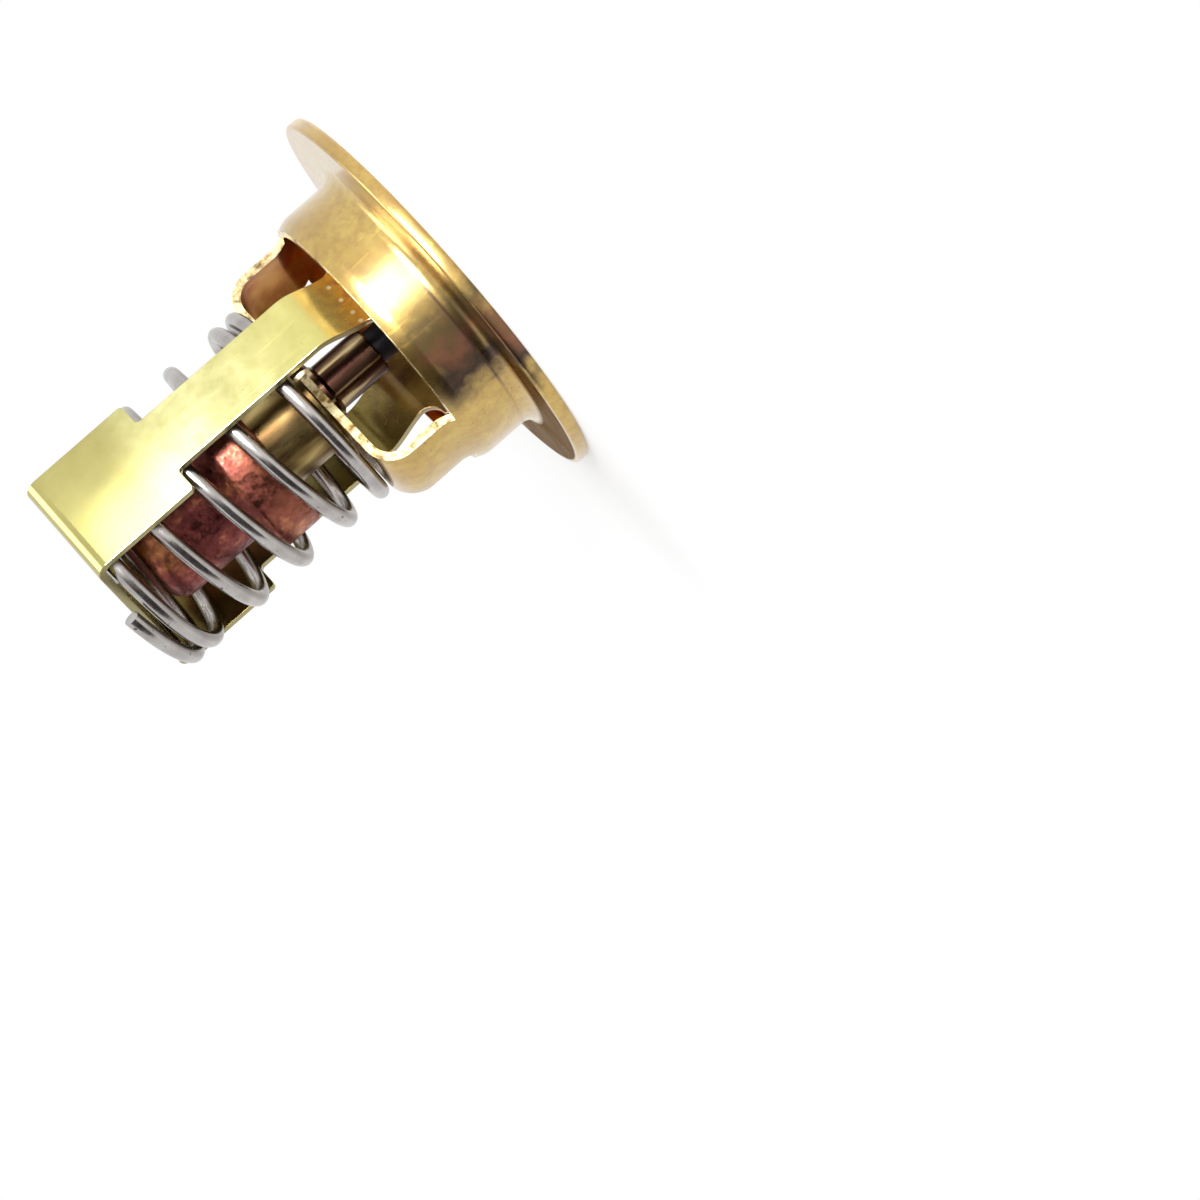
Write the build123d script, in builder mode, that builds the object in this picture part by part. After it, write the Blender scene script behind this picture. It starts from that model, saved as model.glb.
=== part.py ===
from build123d import *
import os
from math import cos, radians, sin

os.makedirs("parts", exist_ok=True)

# A small wax thermostat in the posture it stands in on a bench: flange face down on z = 0,
# +Z along its axis towards the stirrup's base, the stirrup's arms at -Y and +Y, and the
# cup's two bridges at -X and +X. Millimetres. Heat makes the wax push the piston and the
# valve plate out through the flange, in -Z, and the stirrup shortens the spring behind it.

# ---- driving dimensions -------------------------------------------------------------
# cup: one brass drawing, a flange and a drum whose two bridges meet in a cross strip
flange_radius = 16.5
flange_thickness = 1.1
flange_edge_radius = 0.25
drum_radius = 11.5
drum_root_radius = 1.1
drum_straight = 4.2
shoulder_length = 2.4
bridge_radius = 10.8
bridge_corner_radius = 2.4
bridge_width = 6.2
cup_wall = 0.65
cup_height = 12.75
window_sill = 6.5
seat_recess_radius = 11.0
seat_recess_depth = 0.65
seat_lip_radius = 9.7

# valve plate, and the stirrup that pulls it onto its seat
valve_plate_thickness = 0.65
valve_plate_clearance = 0.25
valve_dimple_radius = 2.2
valve_dimple_depth = 0.3
valve_travel = 2.0
stirrup_sheet = 0.65
stirrup_height = 33.2
stirrup_half_gap = 9.25
stirrup_mouth_half_gap = 7.55
arm_width = 5.1
arm_end_width = 8.4
arm_end_length = 5.0
arm_end_sweep = 1.3
arm_end_corner_radius = 0.3
foot_width = 9.1
foot_start = 23.9
foot_corner_radius = 0.35
arm_bend_low = 6.4
arm_bend_high = 10.8
base_bend_radius = 0.5
tab_width = 3.4
tab_slot_clearance = 0.05
tab_head_height = 0.3
tab_head_overhang = 0.4

# wax element: brass guide, rubber plug and diaphragm, wax, copper cup
neck_radius = 2.0
neck_top = 6.95
neck_chamfer = 0.2
neck_collar_radius = 2.7
neck_collar_height = 0.6
neck_hole_clearance = 0.03
guide_body_radius = 4.0
guide_body_length = 5.8
guide_flange_radius = 6.4
guide_flange_thickness = 1.5
piston_radius = 1.45
piston_fit = 0.05
piston_depth = 8.5
anti_chafe_thickness = 0.4
guide_funnel_radius = 3.0
guide_funnel_depth = 1.2
diaphragm_thickness = 0.8
copper_wall = 0.5
copper_body_radius = 4.9
copper_shoulder_drop = 1.2
copper_end_radius = 1.5
copper_end_gap = 0.3
crimp_reach = 0.9
crimp_bend_radius = 0.4

# return spring: a first end that droops beside the cup, a flat turn on it, an open middle,
# a turn under the stirrup's base and a last quarter turn that hangs free; it leans a little
wire_radius = 0.625
spring_mean_radius = 8.3
spring_start_angle = 254.3
spring_droop_turns = 0.2
spring_droop = 0.6
spring_flat_turns = 0.7
spring_lead_turns = 1.0
spring_lead_rise = 0.73
spring_open_turns = 1.7
spring_open_rise = 3.43
spring_close_turns = 4.7
spring_close_drop = 1.68
spring_last_turns = 4.8
spring_last_drop = 0.99
spring_seat_turns = 5.03
spring_free_turns = 5.7
spring_free_rise = 1.08
spring_turns = 5.9
spring_tail_rise = 1.87
spring_lean = 0.9
spring_lean_angle = 263.5
spring_lean_from = 0.9
spring_seat_clearance = 0.04
spring_points_per_turn = 10

match = 0.01  # how closely an edge found by its size has to agree

# ---- sizes worked out from them -------------------------------------------------------
drum_bore = drum_radius - cup_wall
strip_inner = cup_height - cup_wall
plate_low = seat_recess_depth - valve_plate_thickness
plate_high = seat_recess_depth
base_inner = stirrup_height - stirrup_sheet
base_centre = stirrup_height - stirrup_sheet / 2
outer_half_gap = stirrup_half_gap + stirrup_sheet
leg_centre = stirrup_half_gap + stirrup_sheet / 2
tab_centre = stirrup_mouth_half_gap + stirrup_sheet / 2
arm_end_top = plate_high + arm_end_length
copper_end = base_inner - valve_travel - copper_end_gap
guide_flange_low = cup_height + guide_body_length
guide_flange_high = guide_flange_low + guide_flange_thickness
crimp_low = guide_flange_low - copper_wall
diaphragm_high = guide_flange_high + diaphragm_thickness
copper_shoulder = diaphragm_high + copper_wall
copper_shoulder_radius = guide_flange_radius + copper_wall
copper_bore = copper_body_radius - copper_wall
piston_end = neck_top + piston_depth


# ---- cup ------------------------------------------------------------------------------
with BuildPart() as flange_cup:
    with BuildSketch(Plane.XZ):
        with BuildLine():
            outer = Polyline(
                (seat_lip_radius, seat_recess_depth),
                (seat_recess_radius, seat_recess_depth),
                (seat_recess_radius, 0),
                (flange_radius, 0),
                (flange_radius, flange_thickness),
                (drum_radius, flange_thickness),
                (drum_radius, flange_thickness + drum_straight),
            )
            shoulder = Spline(
                (drum_radius, flange_thickness + drum_straight),
                (bridge_radius, flange_thickness + drum_straight + shoulder_length),
                tangents=[(0, 1), (0, 1)],
            )
            Line(shoulder @ 1, (bridge_radius, cup_height - bridge_corner_radius))
            corner = RadiusArc(
                (bridge_radius, cup_height - bridge_corner_radius),
                (bridge_radius - bridge_corner_radius, cup_height),
                -bridge_corner_radius,
            )
            Polyline(
                corner @ 1,
                (0, cup_height),
                (0, strip_inner),
                (bridge_radius - bridge_corner_radius, strip_inner),
            )
            RadiusArc(
                (bridge_radius - bridge_corner_radius, strip_inner),
                (bridge_radius - cup_wall, cup_height - bridge_corner_radius),
                bridge_corner_radius - cup_wall,
            )
            Line(
                (bridge_radius - cup_wall, cup_height - bridge_corner_radius),
                (bridge_radius - cup_wall, flange_thickness + drum_straight + shoulder_length),
            )
            Spline(
                (bridge_radius - cup_wall, flange_thickness + drum_straight + shoulder_length),
                (drum_bore, flange_thickness + drum_straight),
                tangents=[(0, -1), (0, -1)],
            )
            Polyline(
                (drum_bore, flange_thickness + drum_straight),
                (drum_bore, seat_recess_depth + cup_wall),
                (seat_lip_radius, seat_recess_depth + cup_wall),
                (seat_lip_radius, seat_recess_depth),
            )
        make_face()
    revolve(axis=Axis.Z)
    # the concave root of the drum and the blunted rim
    circles = flange_cup.edges().filter_by(GeomType.CIRCLE)
    root = circles.filter_by(lambda e: abs(e.radius - drum_radius) < match)
    root = root.filter_by(lambda e: abs(e.center().Z - flange_thickness) < match)
    fillet(root, drum_root_radius)
    circles = flange_cup.edges().filter_by(GeomType.CIRCLE)
    rim = circles.filter_by(lambda e: abs(e.radius - flange_radius) < match)
    fillet(rim, flange_edge_radius)
    # two windows leave the bridges and the strip between them
    for side in (-1, 1):
        with BuildSketch(Plane.XY.offset(window_sill)):
            with Locations((0, side * (bridge_width / 2 + drum_radius))):
                Rectangle(2 * flange_radius, 2 * drum_radius)
        extrude(amount=cup_height, mode=Mode.SUBTRACT)
    # the hole that the wax element's neck is staked in
    with BuildSketch(Plane.XY.offset(strip_inner)):
        Circle(neck_radius + neck_hole_clearance)
    extrude(amount=cup_wall, mode=Mode.SUBTRACT)

# ---- valve plate ----------------------------------------------------------------------
with BuildPart() as valve_plate:
    with BuildSketch(Plane.XY.offset(plate_low)):
        Circle(seat_recess_radius - valve_plate_clearance)
    extrude(amount=valve_plate_thickness)
    # a pressed dimple centres the piston's end
    with BuildSketch(Plane.XY.offset(plate_high - valve_dimple_depth)):
        Circle(valve_dimple_radius)
    extrude(amount=valve_dimple_depth, mode=Mode.SUBTRACT)
    # slots that the stirrup's tabs come through
    with BuildSketch(Plane.XY.offset(plate_low)):
        with Locations((0, -tab_centre), (0, tab_centre)):
            Rectangle(tab_width + 2 * tab_slot_clearance, stirrup_sheet + 2 * tab_slot_clearance)
    extrude(amount=valve_plate_thickness, mode=Mode.SUBTRACT)
    with BuildSketch(Plane.XY.offset(plate_low)):
        with Locations((0, -tab_centre), (0, tab_centre)):
            Rectangle(
                tab_width + 2 * (tab_head_overhang + tab_slot_clearance),
                stirrup_sheet + 2 * (tab_head_overhang + tab_slot_clearance),
            )
    extrude(amount=tab_head_height, mode=Mode.SUBTRACT)

# ---- stirrup --------------------------------------------------------------------------
with BuildPart() as stirrup:
    # the strip's section, one half drawn and mirrored: a base, a bend, a straight leg and
    # the set that brings the arm in through the window to the valve plate
    with BuildSketch(Plane.YZ):
        with BuildLine():
            base_line = Line(
                (0, base_centre),
                (stirrup_half_gap - base_bend_radius, base_centre),
            )
            bend = RadiusArc(
                base_line @ 1,
                (leg_centre, base_inner - base_bend_radius),
                base_bend_radius + stirrup_sheet / 2,
            )
            leg = Line(bend @ 1, (leg_centre, arm_bend_high))
            arm_set = Spline(leg @ 1, (tab_centre, arm_bend_low), tangents=[(0, -1), (0, -1)])
            Line(arm_set @ 1, (tab_centre, plate_high))
            mirror(about=Plane.YZ)
        trace(line_width=stirrup_sheet)
    extrude(amount=foot_width / 2, both=True)
    # the feet are full width, the arms are trimmed narrower, and the arms' ends sweep out
    # again to stand square on the valve plate
    with BuildSketch(Plane.XZ) as outline:
        with Locations((0, (stirrup_height + foot_start) / 2)):
            Rectangle(foot_width, stirrup_height - foot_start)
        with Locations((0, (foot_start + plate_high) / 2)):
            Rectangle(arm_width, foot_start - plate_high)
        with Locations((0, (arm_end_top + plate_high) / 2)):
            Rectangle(arm_end_width, arm_end_length)
        foot_corners = outline.vertices().filter_by(lambda v: abs(v.Y - foot_start) < match)
        fillet(foot_corners, foot_corner_radius)
        end_corners = outline.vertices().filter_by(lambda v: abs(v.Y - arm_end_top) < match)
        fillet(end_corners.filter_by(lambda v: abs(v.X) < arm_width / 2 + match), arm_end_sweep)
        end_corners = outline.vertices().filter_by(lambda v: abs(v.Y - arm_end_top) < match)
        fillet(end_corners.filter_by(lambda v: abs(v.X) > arm_end_width / 2 - match), arm_end_corner_radius)
    extrude(amount=outer_half_gap, both=True, mode=Mode.INTERSECT)
    # tabs through the valve plate, peened over on its front
    for side in (-1, 1):
        with BuildSketch(Plane.XY.offset(plate_low)):
            with Locations((0, side * tab_centre)):
                Rectangle(tab_width, stirrup_sheet)
        extrude(amount=valve_plate_thickness)
        with BuildSketch(Plane.XY.offset(plate_low)):
            with Locations((0, side * tab_centre)):
                Rectangle(tab_width + 2 * tab_head_overhang, stirrup_sheet + 2 * tab_head_overhang)
        extrude(amount=tab_head_height)

# ---- wax element ----------------------------------------------------------------------
with BuildPart() as element_guide:
    with BuildSketch(Plane.XZ):
        with BuildLine():
            Polyline(
                (0, neck_top),
                (neck_radius, neck_top),
                (neck_radius, strip_inner - neck_collar_height),
                (neck_collar_radius, strip_inner - neck_collar_height / 2),
                (neck_collar_radius, strip_inner),
                (neck_radius, strip_inner),
                (neck_radius, cup_height),
                (guide_body_radius, cup_height),
                (guide_body_radius, guide_flange_low),
                (guide_flange_radius, guide_flange_low),
                (guide_flange_radius, guide_flange_high),
                (0, guide_flange_high),
                close=True,
            )
        make_face()
    revolve(axis=Axis.Z)
    mouth = element_guide.edges().filter_by(GeomType.CIRCLE).group_by(Axis.Z)[0]
    chamfer(mouth, neck_chamfer)
    with BuildSketch(Plane.XY.offset(neck_top)):
        Circle(piston_radius + piston_fit)
    extrude(amount=guide_flange_high - neck_top, mode=Mode.SUBTRACT)
    with BuildSketch(Plane.XZ):
        with BuildLine():
            Polyline(
                (0, guide_flange_high),
                (guide_funnel_radius, guide_flange_high),
                (piston_radius + piston_fit, guide_flange_high - guide_funnel_depth),
                (0, guide_flange_high - guide_funnel_depth),
                close=True,
            )
        make_face()
    revolve(axis=Axis.Z, mode=Mode.SUBTRACT)

with BuildPart() as anti_chafe_disc:
    with BuildSketch(Plane.XY.offset(piston_end)):
        Circle(piston_radius)
    extrude(amount=anti_chafe_thickness)

with BuildPart() as rubber_plug:
    with BuildSketch(Plane.XZ):
        with BuildLine():
            Polyline(
                (0, piston_end + anti_chafe_thickness),
                (piston_radius, piston_end + anti_chafe_thickness),
                (piston_radius, guide_flange_high - guide_funnel_depth),
                (guide_funnel_radius - piston_fit, guide_flange_high),
                (0, guide_flange_high),
                close=True,
            )
        make_face()
    revolve(axis=Axis.Z)

with BuildPart() as diaphragm:
    with BuildSketch(Plane.XY.offset(guide_flange_high)):
        Circle(guide_flange_radius)
    extrude(amount=diaphragm_thickness)

with BuildPart() as copper_cup:
    with BuildSketch(Plane.XZ):
        with BuildLine():
            Polyline(
                (guide_flange_radius, guide_flange_low),
                (guide_flange_radius, diaphragm_high),
                (copper_bore, diaphragm_high),
                (copper_bore, copper_end - copper_end_radius),
            )
            RadiusArc(
                (copper_bore, copper_end - copper_end_radius),
                (copper_body_radius - copper_end_radius, copper_end - copper_wall),
                -(copper_end_radius - copper_wall),
            )
            Polyline(
                (copper_body_radius - copper_end_radius, copper_end - copper_wall),
                (0, copper_end - copper_wall),
                (0, copper_end),
                (copper_body_radius - copper_end_radius, copper_end),
            )
            RadiusArc(
                (copper_body_radius - copper_end_radius, copper_end),
                (copper_body_radius, copper_end - copper_end_radius),
                copper_end_radius,
            )
            Polyline(
                (copper_body_radius, copper_end - copper_end_radius),
                (copper_body_radius, copper_shoulder + copper_shoulder_drop),
                (copper_shoulder_radius, copper_shoulder - copper_wall),
                (copper_shoulder_radius, crimp_low),
                (guide_flange_radius - crimp_reach, crimp_low),
                (guide_flange_radius - crimp_reach, guide_flange_low),
                (guide_flange_radius, guide_flange_low),
            )
        make_face()
    revolve(axis=Axis.Z)
    rounds = copper_cup.edges().filter_by(GeomType.CIRCLE)
    rounds = rounds.filter_by(lambda e: abs(e.radius - copper_shoulder_radius) < match)
    fillet(rounds, crimp_bend_radius)

with BuildPart() as wax_charge:
    with BuildSketch(Plane.XY.offset(diaphragm_high)):
        Circle(copper_bore)
    extrude(amount=copper_end - copper_wall - diaphragm_high)
    fillet(wax_charge.edges().group_by(Axis.Z)[-1], copper_end_radius - copper_wall)

with BuildPart() as piston:
    with BuildSketch(Plane.XY.offset(plate_high - valve_dimple_depth)):
        Circle(piston_radius)
    extrude(amount=piston_end - plate_high + valve_dimple_depth)
    chamfer(piston.edges().group_by(Axis.Z)[0], neck_chamfer)

# ---- return spring --------------------------------------------------------------------
spring_low = cup_height + wire_radius + spring_seat_clearance
spring_high = base_inner - wire_radius - spring_seat_clearance
spring_top = spring_high - spring_lean
# turns from the wire's first end, and the coil's mean height there
spring_law = [
    (0, spring_low - spring_droop),
    (spring_droop_turns, spring_low),
    (spring_flat_turns, spring_low),
    (spring_lead_turns, spring_low + spring_lead_rise),
    (spring_open_turns, spring_low + spring_open_rise),
    (spring_close_turns, spring_high - spring_close_drop),
    (spring_last_turns, spring_high - spring_last_drop),
    (spring_seat_turns, spring_top),
    (spring_free_turns, spring_top + spring_free_rise),
    (spring_turns, spring_top + spring_tail_rise),
]


def spring_height(turn):
    for (turn_a, high_a), (turn_b, high_b) in zip(spring_law, spring_law[1:]):
        if turn <= turn_b:
            return high_a + (high_b - high_a) * (turn - turn_a) / (turn_b - turn_a)
    return spring_law[-1][1]


def spring_point(turn):
    angle = radians(spring_start_angle + 360 * turn)
    # the lean grows over one turn and lifts the side that faces spring_lean_angle
    lean = spring_lean * min(max(turn - spring_lean_from, 0), 1)
    return (
        spring_mean_radius * cos(angle),
        spring_mean_radius * sin(angle),
        spring_height(turn) + lean * cos(angle - radians(spring_lean_angle)),
    )


steps = round(spring_turns * spring_points_per_turn)
with BuildPart() as return_spring:
    with BuildLine() as wire:
        Spline(*[spring_point(spring_turns * i / steps) for i in range(steps + 1)])
    with BuildSketch(Plane(origin=wire.line @ 0, z_dir=wire.line % 0)):
        Circle(wire_radius)
    sweep(path=wire.line)

pieces = {
    "flange_cup": flange_cup,
    "valve_plate": valve_plate,
    "stirrup": stirrup,
    "element_guide": element_guide,
    "anti_chafe_disc": anti_chafe_disc,
    "rubber_plug": rubber_plug,
    "diaphragm": diaphragm,
    "copper_cup": copper_cup,
    "wax_charge": wax_charge,
    "piston": piston,
    "return_spring": return_spring,
}
for name, piece in pieces.items():
    piece.part.label = name
    export_step(piece.part, f"parts/{name}.step")
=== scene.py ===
import bpy
import math
from mathutils import Matrix, Vector


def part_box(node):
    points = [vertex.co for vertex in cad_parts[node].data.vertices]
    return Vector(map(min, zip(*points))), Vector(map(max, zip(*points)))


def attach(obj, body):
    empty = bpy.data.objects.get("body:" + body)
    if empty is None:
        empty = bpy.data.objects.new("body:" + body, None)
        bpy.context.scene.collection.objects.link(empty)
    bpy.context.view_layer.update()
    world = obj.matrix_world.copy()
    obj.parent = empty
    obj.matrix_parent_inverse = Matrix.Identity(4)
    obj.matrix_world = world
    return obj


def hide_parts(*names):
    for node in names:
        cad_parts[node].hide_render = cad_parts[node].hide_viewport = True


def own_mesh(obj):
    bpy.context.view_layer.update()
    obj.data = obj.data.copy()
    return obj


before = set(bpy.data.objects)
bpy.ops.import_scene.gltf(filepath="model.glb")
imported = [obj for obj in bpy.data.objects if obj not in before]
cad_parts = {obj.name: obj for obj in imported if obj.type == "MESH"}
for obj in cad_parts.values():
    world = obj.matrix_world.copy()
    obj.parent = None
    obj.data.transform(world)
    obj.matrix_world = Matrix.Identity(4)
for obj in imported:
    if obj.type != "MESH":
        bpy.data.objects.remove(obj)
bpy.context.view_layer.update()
MM = 0.001


# ---------------------------------------------------------------------------------------
# Flange cup. One deep-drawn brass cup: a flat flange, a drum, and two bridges that run on
# from the drum's wall and meet in a cross strip. Two windows are cropped out of its sides,
# and the mouth is coined inwards to a narrow seat for the valve plate.
cup_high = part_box("flange_cup")[1]
flange_radius = cup_high.x
cup_height = cup_high.z
flange_thickness = 1.1 * MM
rim_round = 0.28 * MM
drum_radius = 11.5 * MM
drum_root = 1.1 * MM
drum_straight_end = 5.3 * MM
shoulder_end = 7.7 * MM
bridge_radius = 10.8 * MM
bridge_corner = 2.4 * MM
bridge_half_width = 3.1 * MM
cup_wall = 0.65 * MM
window_sill = 6.5 * MM
seat_depth = 0.65 * MM
seat_outer = 11.0 * MM
seat_inner = 9.7 * MM
neck_hole = 2.03 * MM
mouth_break = 0.12 * MM


def arc_points(centre, radius, start, end, steps):
    """Points of an arc in the (radius, height) plane, its angles in degrees from outwards."""
    turns = [math.radians(start + (end - start) * i / steps) for i in range(steps + 1)]
    return [(centre[0] + radius * math.cos(t), centre[1] + radius * math.sin(t)) for t in turns]


def ease_points(start, end, steps):
    """A smooth step from one (radius, height) to another, upright at both ends."""
    points = []
    for i in range(steps + 1):
        t = i / steps
        points.append((start[0] + (end[0] - start[0]) * t * t * (3 - 2 * t),
                       start[1] + (end[1] - start[1]) * t))
    return points


def turn_piece(name, outline, closed=True, around=192):
    """Turns an outline of (radius, height) points about the axis, ring by ring.

    An outline that isn't closed gets a flat face inside its first and last rings."""
    bpy.ops.object.select_all(action="DESELECT")
    radius, height = outline[0]
    bpy.ops.mesh.primitive_circle_add(vertices=around, radius=radius, location=(0, 0, height))
    piece = bpy.context.object
    piece.name = piece.data.name = name
    bpy.ops.object.mode_set(mode="EDIT")
    bpy.ops.mesh.select_mode(type="VERT")
    bpy.ops.mesh.select_all(action="SELECT")
    if not closed:
        bpy.ops.mesh.edge_face_add()
        bpy.ops.mesh.select_all(action="SELECT")
    ring = outline[1:] + outline[:1] if closed else outline[1:]
    for next_radius, next_height in ring:
        bpy.ops.mesh.extrude_edges_move(
            TRANSFORM_OT_translate={"value": (0, 0, next_height - height)})
        grow = next_radius / radius
        bpy.ops.transform.resize(value=(grow, grow, 1), center_override=(0, 0, next_height))
        radius, height = next_radius, next_height
    if not closed:
        bpy.ops.mesh.edge_face_add()
    bpy.ops.mesh.select_all(action="SELECT")
    bpy.ops.mesh.remove_doubles(threshold=1e-6)
    bpy.ops.mesh.normals_make_consistent(inside=False)
    bpy.ops.object.mode_set(mode="OBJECT")
    bpy.ops.object.transform_apply(location=True, rotation=True, scale=True)
    return piece


def cut_with_box(piece, low, high):
    """Crops a block out of a piece."""
    bpy.ops.object.select_all(action="DESELECT")
    middle = [(a + b) / 2 for a, b in zip(low, high)]
    bpy.ops.mesh.primitive_cube_add(size=1, location=middle)
    cutter = bpy.context.object
    cutter.scale = [b - a for a, b in zip(low, high)]
    bpy.ops.object.transform_apply(location=True, rotation=True, scale=True)
    crop = piece.modifiers.new("crop", "BOOLEAN")
    crop.operation = "DIFFERENCE"
    crop.solver = "EXACT"
    crop.object = cutter
    bpy.context.view_layer.objects.active = piece
    bpy.ops.object.modifier_apply(modifier="crop")
    bpy.data.objects.remove(cutter, do_unlink=True)


def blunt_edges(piece, width, sharp=40, segments=2):
    """Rounds the sheared edges and shades the rest smooth."""
    bpy.ops.object.select_all(action="DESELECT")
    piece.select_set(True)
    bpy.context.view_layer.objects.active = piece
    if width:
        edge = piece.modifiers.new("edge", "BEVEL")
        edge.width = width
        edge.segments = segments
        edge.limit_method = "ANGLE"
        edge.angle_limit = math.radians(sharp)
        bpy.ops.object.modifier_apply(modifier="edge")
    bpy.ops.object.shade_smooth_by_angle(angle=math.radians(35))
    if width:
        flat = piece.modifiers.new("flat", "WEIGHTED_NORMAL")
        flat.keep_sharp = True
        bpy.ops.object.modifier_apply(modifier="flat")


corner_centre = (bridge_radius - bridge_corner, cup_height - bridge_corner)
inner_ease = ease_points((drum_radius - cup_wall, drum_straight_end),
                         (bridge_radius - cup_wall, shoulder_end), 10)
cup_outline = (
    [(seat_inner, seat_depth), (seat_outer, seat_depth), (seat_outer, mouth_break),
     (seat_outer + mouth_break, 0)]
    + arc_points((flange_radius - rim_round, rim_round), rim_round, -90, 0, 5)
    + arc_points((flange_radius - rim_round, flange_thickness - rim_round), rim_round, 0, 90, 5)
    + arc_points((drum_radius + drum_root, flange_thickness + drum_root), drum_root, 270, 180, 7)
    + ease_points((drum_radius, drum_straight_end), (bridge_radius, shoulder_end), 10)
    + arc_points(corner_centre, bridge_corner, 0, 90, 12)
    + [(neck_hole, cup_height), (neck_hole, cup_height - cup_wall)]
    + arc_points(corner_centre, bridge_corner - cup_wall, 90, 0, 10)
    + inner_ease[::-1]
    + [(drum_radius - cup_wall, seat_depth + cup_wall), (seat_inner, seat_depth + cup_wall)]
)
cup = turn_piece("cup", cup_outline, around=256)
for side in (-1, 1):
    near, far = side * bridge_half_width, side * (drum_radius + 2 * MM)
    cut_with_box(cup, (-flange_radius, min(near, far), window_sill),
                 (flange_radius, max(near, far), cup_height + MM))
blunt_edges(cup, 0.07 * MM)


def new_skin(name):
    """A material with its Principled shader, node tree and object coordinates ready."""
    skin = bpy.data.materials.new(name)
    skin.use_nodes = True
    tree = skin.node_tree
    coords = tree.nodes.new("ShaderNodeTexCoord")
    return skin, tree, tree.nodes["Principled BSDF"], coords.outputs["Object"]


def noise(tree, where, scale, detail=4.0, rough=0.55, stretch=(1, 1, 1)):
    """Noise in object space, scale in cycles per metre."""
    mapping = tree.nodes.new("ShaderNodeMapping")
    mapping.inputs["Scale"].default_value = stretch
    tree.links.new(where, mapping.inputs["Vector"])
    pattern = tree.nodes.new("ShaderNodeTexNoise")
    pattern.inputs["Scale"].default_value = scale
    pattern.inputs["Detail"].default_value = detail
    pattern.inputs["Roughness"].default_value = rough
    tree.links.new(mapping.outputs["Vector"], pattern.inputs["Vector"])
    return pattern.outputs["Fac"]


def ramp(tree, value, stops):
    """Maps a value to colours at its stops."""
    node = tree.nodes.new("ShaderNodeValToRGB")
    band = node.color_ramp
    band.elements[0].position, band.elements[0].color = stops[0][0], (*stops[0][1], 1)
    band.elements[1].position, band.elements[1].color = stops[-1][0], (*stops[-1][1], 1)
    for place, colour in stops[1:-1]:
        band.elements.new(place).color = (*colour, 1)
    tree.links.new(value, node.inputs["Fac"])
    return node.outputs["Color"]


def blend(tree, share, under, over):
    """Lays one colour over another by a share."""
    node = tree.nodes.new("ShaderNodeMix")
    node.data_type = "RGBA"
    tree.links.new(share, node.inputs[0])
    for socket, source in ((node.inputs[6], under), (node.inputs[7], over)):
        if isinstance(source, tuple):
            socket.default_value = (*source, 1)
        else:
            tree.links.new(source, socket)
    return node.outputs[2]


def map_range(tree, value, low, high, to_low, to_high):
    """Stretches a value from one range to another, clamped."""
    node = tree.nodes.new("ShaderNodeMapRange")
    node.inputs["From Min"].default_value = low
    node.inputs["From Max"].default_value = high
    node.inputs["To Min"].default_value = to_low
    node.inputs["To Max"].default_value = to_high
    tree.links.new(value, node.inputs["Value"])
    return node.outputs["Result"]


def emboss(tree, shader, height, depth, strength=1.0):
    """Raises fine relief from a height pattern."""
    node = tree.nodes.new("ShaderNodeBump")
    node.inputs["Strength"].default_value = strength
    node.inputs["Distance"].default_value = depth
    tree.links.new(height, node.inputs["Height"])
    tree.links.new(node.outputs["Normal"], shader.inputs["Normal"])


def calc(tree, kind, *values):
    """One step of arithmetic on sockets and numbers."""
    node = tree.nodes.new("ShaderNodeMath")
    node.operation = kind
    for socket, value in zip(node.inputs, values):
        if isinstance(value, (int, float)):
            socket.default_value = value
        else:
            tree.links.new(value, socket)
    return node.outputs[0]


def plus(tree, *values):
    """The sum of sockets and numbers."""
    total = values[0]
    for value in values[1:]:
        total = calc(tree, "ADD", total, value)
    return total


def times(tree, *values):
    """The product of sockets and numbers."""
    product = values[0]
    for value in values[1:]:
        product = calc(tree, "MULTIPLY", product, value)
    return product


def place_parts(tree, where):
    """X, Y, Z, distance from the axis and bearing from -Y towards +X, in metres and radians."""
    split = tree.nodes.new("ShaderNodeSeparateXYZ")
    tree.links.new(where, split.inputs[0])
    x, y, z = split.outputs
    away = calc(tree, "SQRT", plus(tree, times(tree, x, x), times(tree, y, y)))
    bearing = calc(tree, "ARCTAN2", x, times(tree, y, -1.0))
    return x, y, z, away, bearing


def facing_parts(tree):
    """X, Y and Z of the direction that the surface faces, in the piece's own space."""
    split = tree.nodes.new("ShaderNodeSeparateXYZ")
    tree.links.new(tree.nodes["Texture Coordinate"].outputs["Normal"], split.inputs[0])
    return split.outputs


def window(tree, value, low, high, soft):
    """1 between two limits, easing to 0 outside them."""
    rise = map_range(tree, value, low - soft, low + soft, 0.0, 1.0)
    fall = map_range(tree, value, high - soft, high + soft, 1.0, 0.0)
    return times(tree, rise, fall)


def scratches(tree, where, scale, stretch, low, high):
    """Thin broken lines: noise drawn far out along one direction, kept where it peaks."""
    return map_range(tree, noise(tree, where, scale, 2, 0.5, stretch), low, high, 0.0, 1.0)


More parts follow.
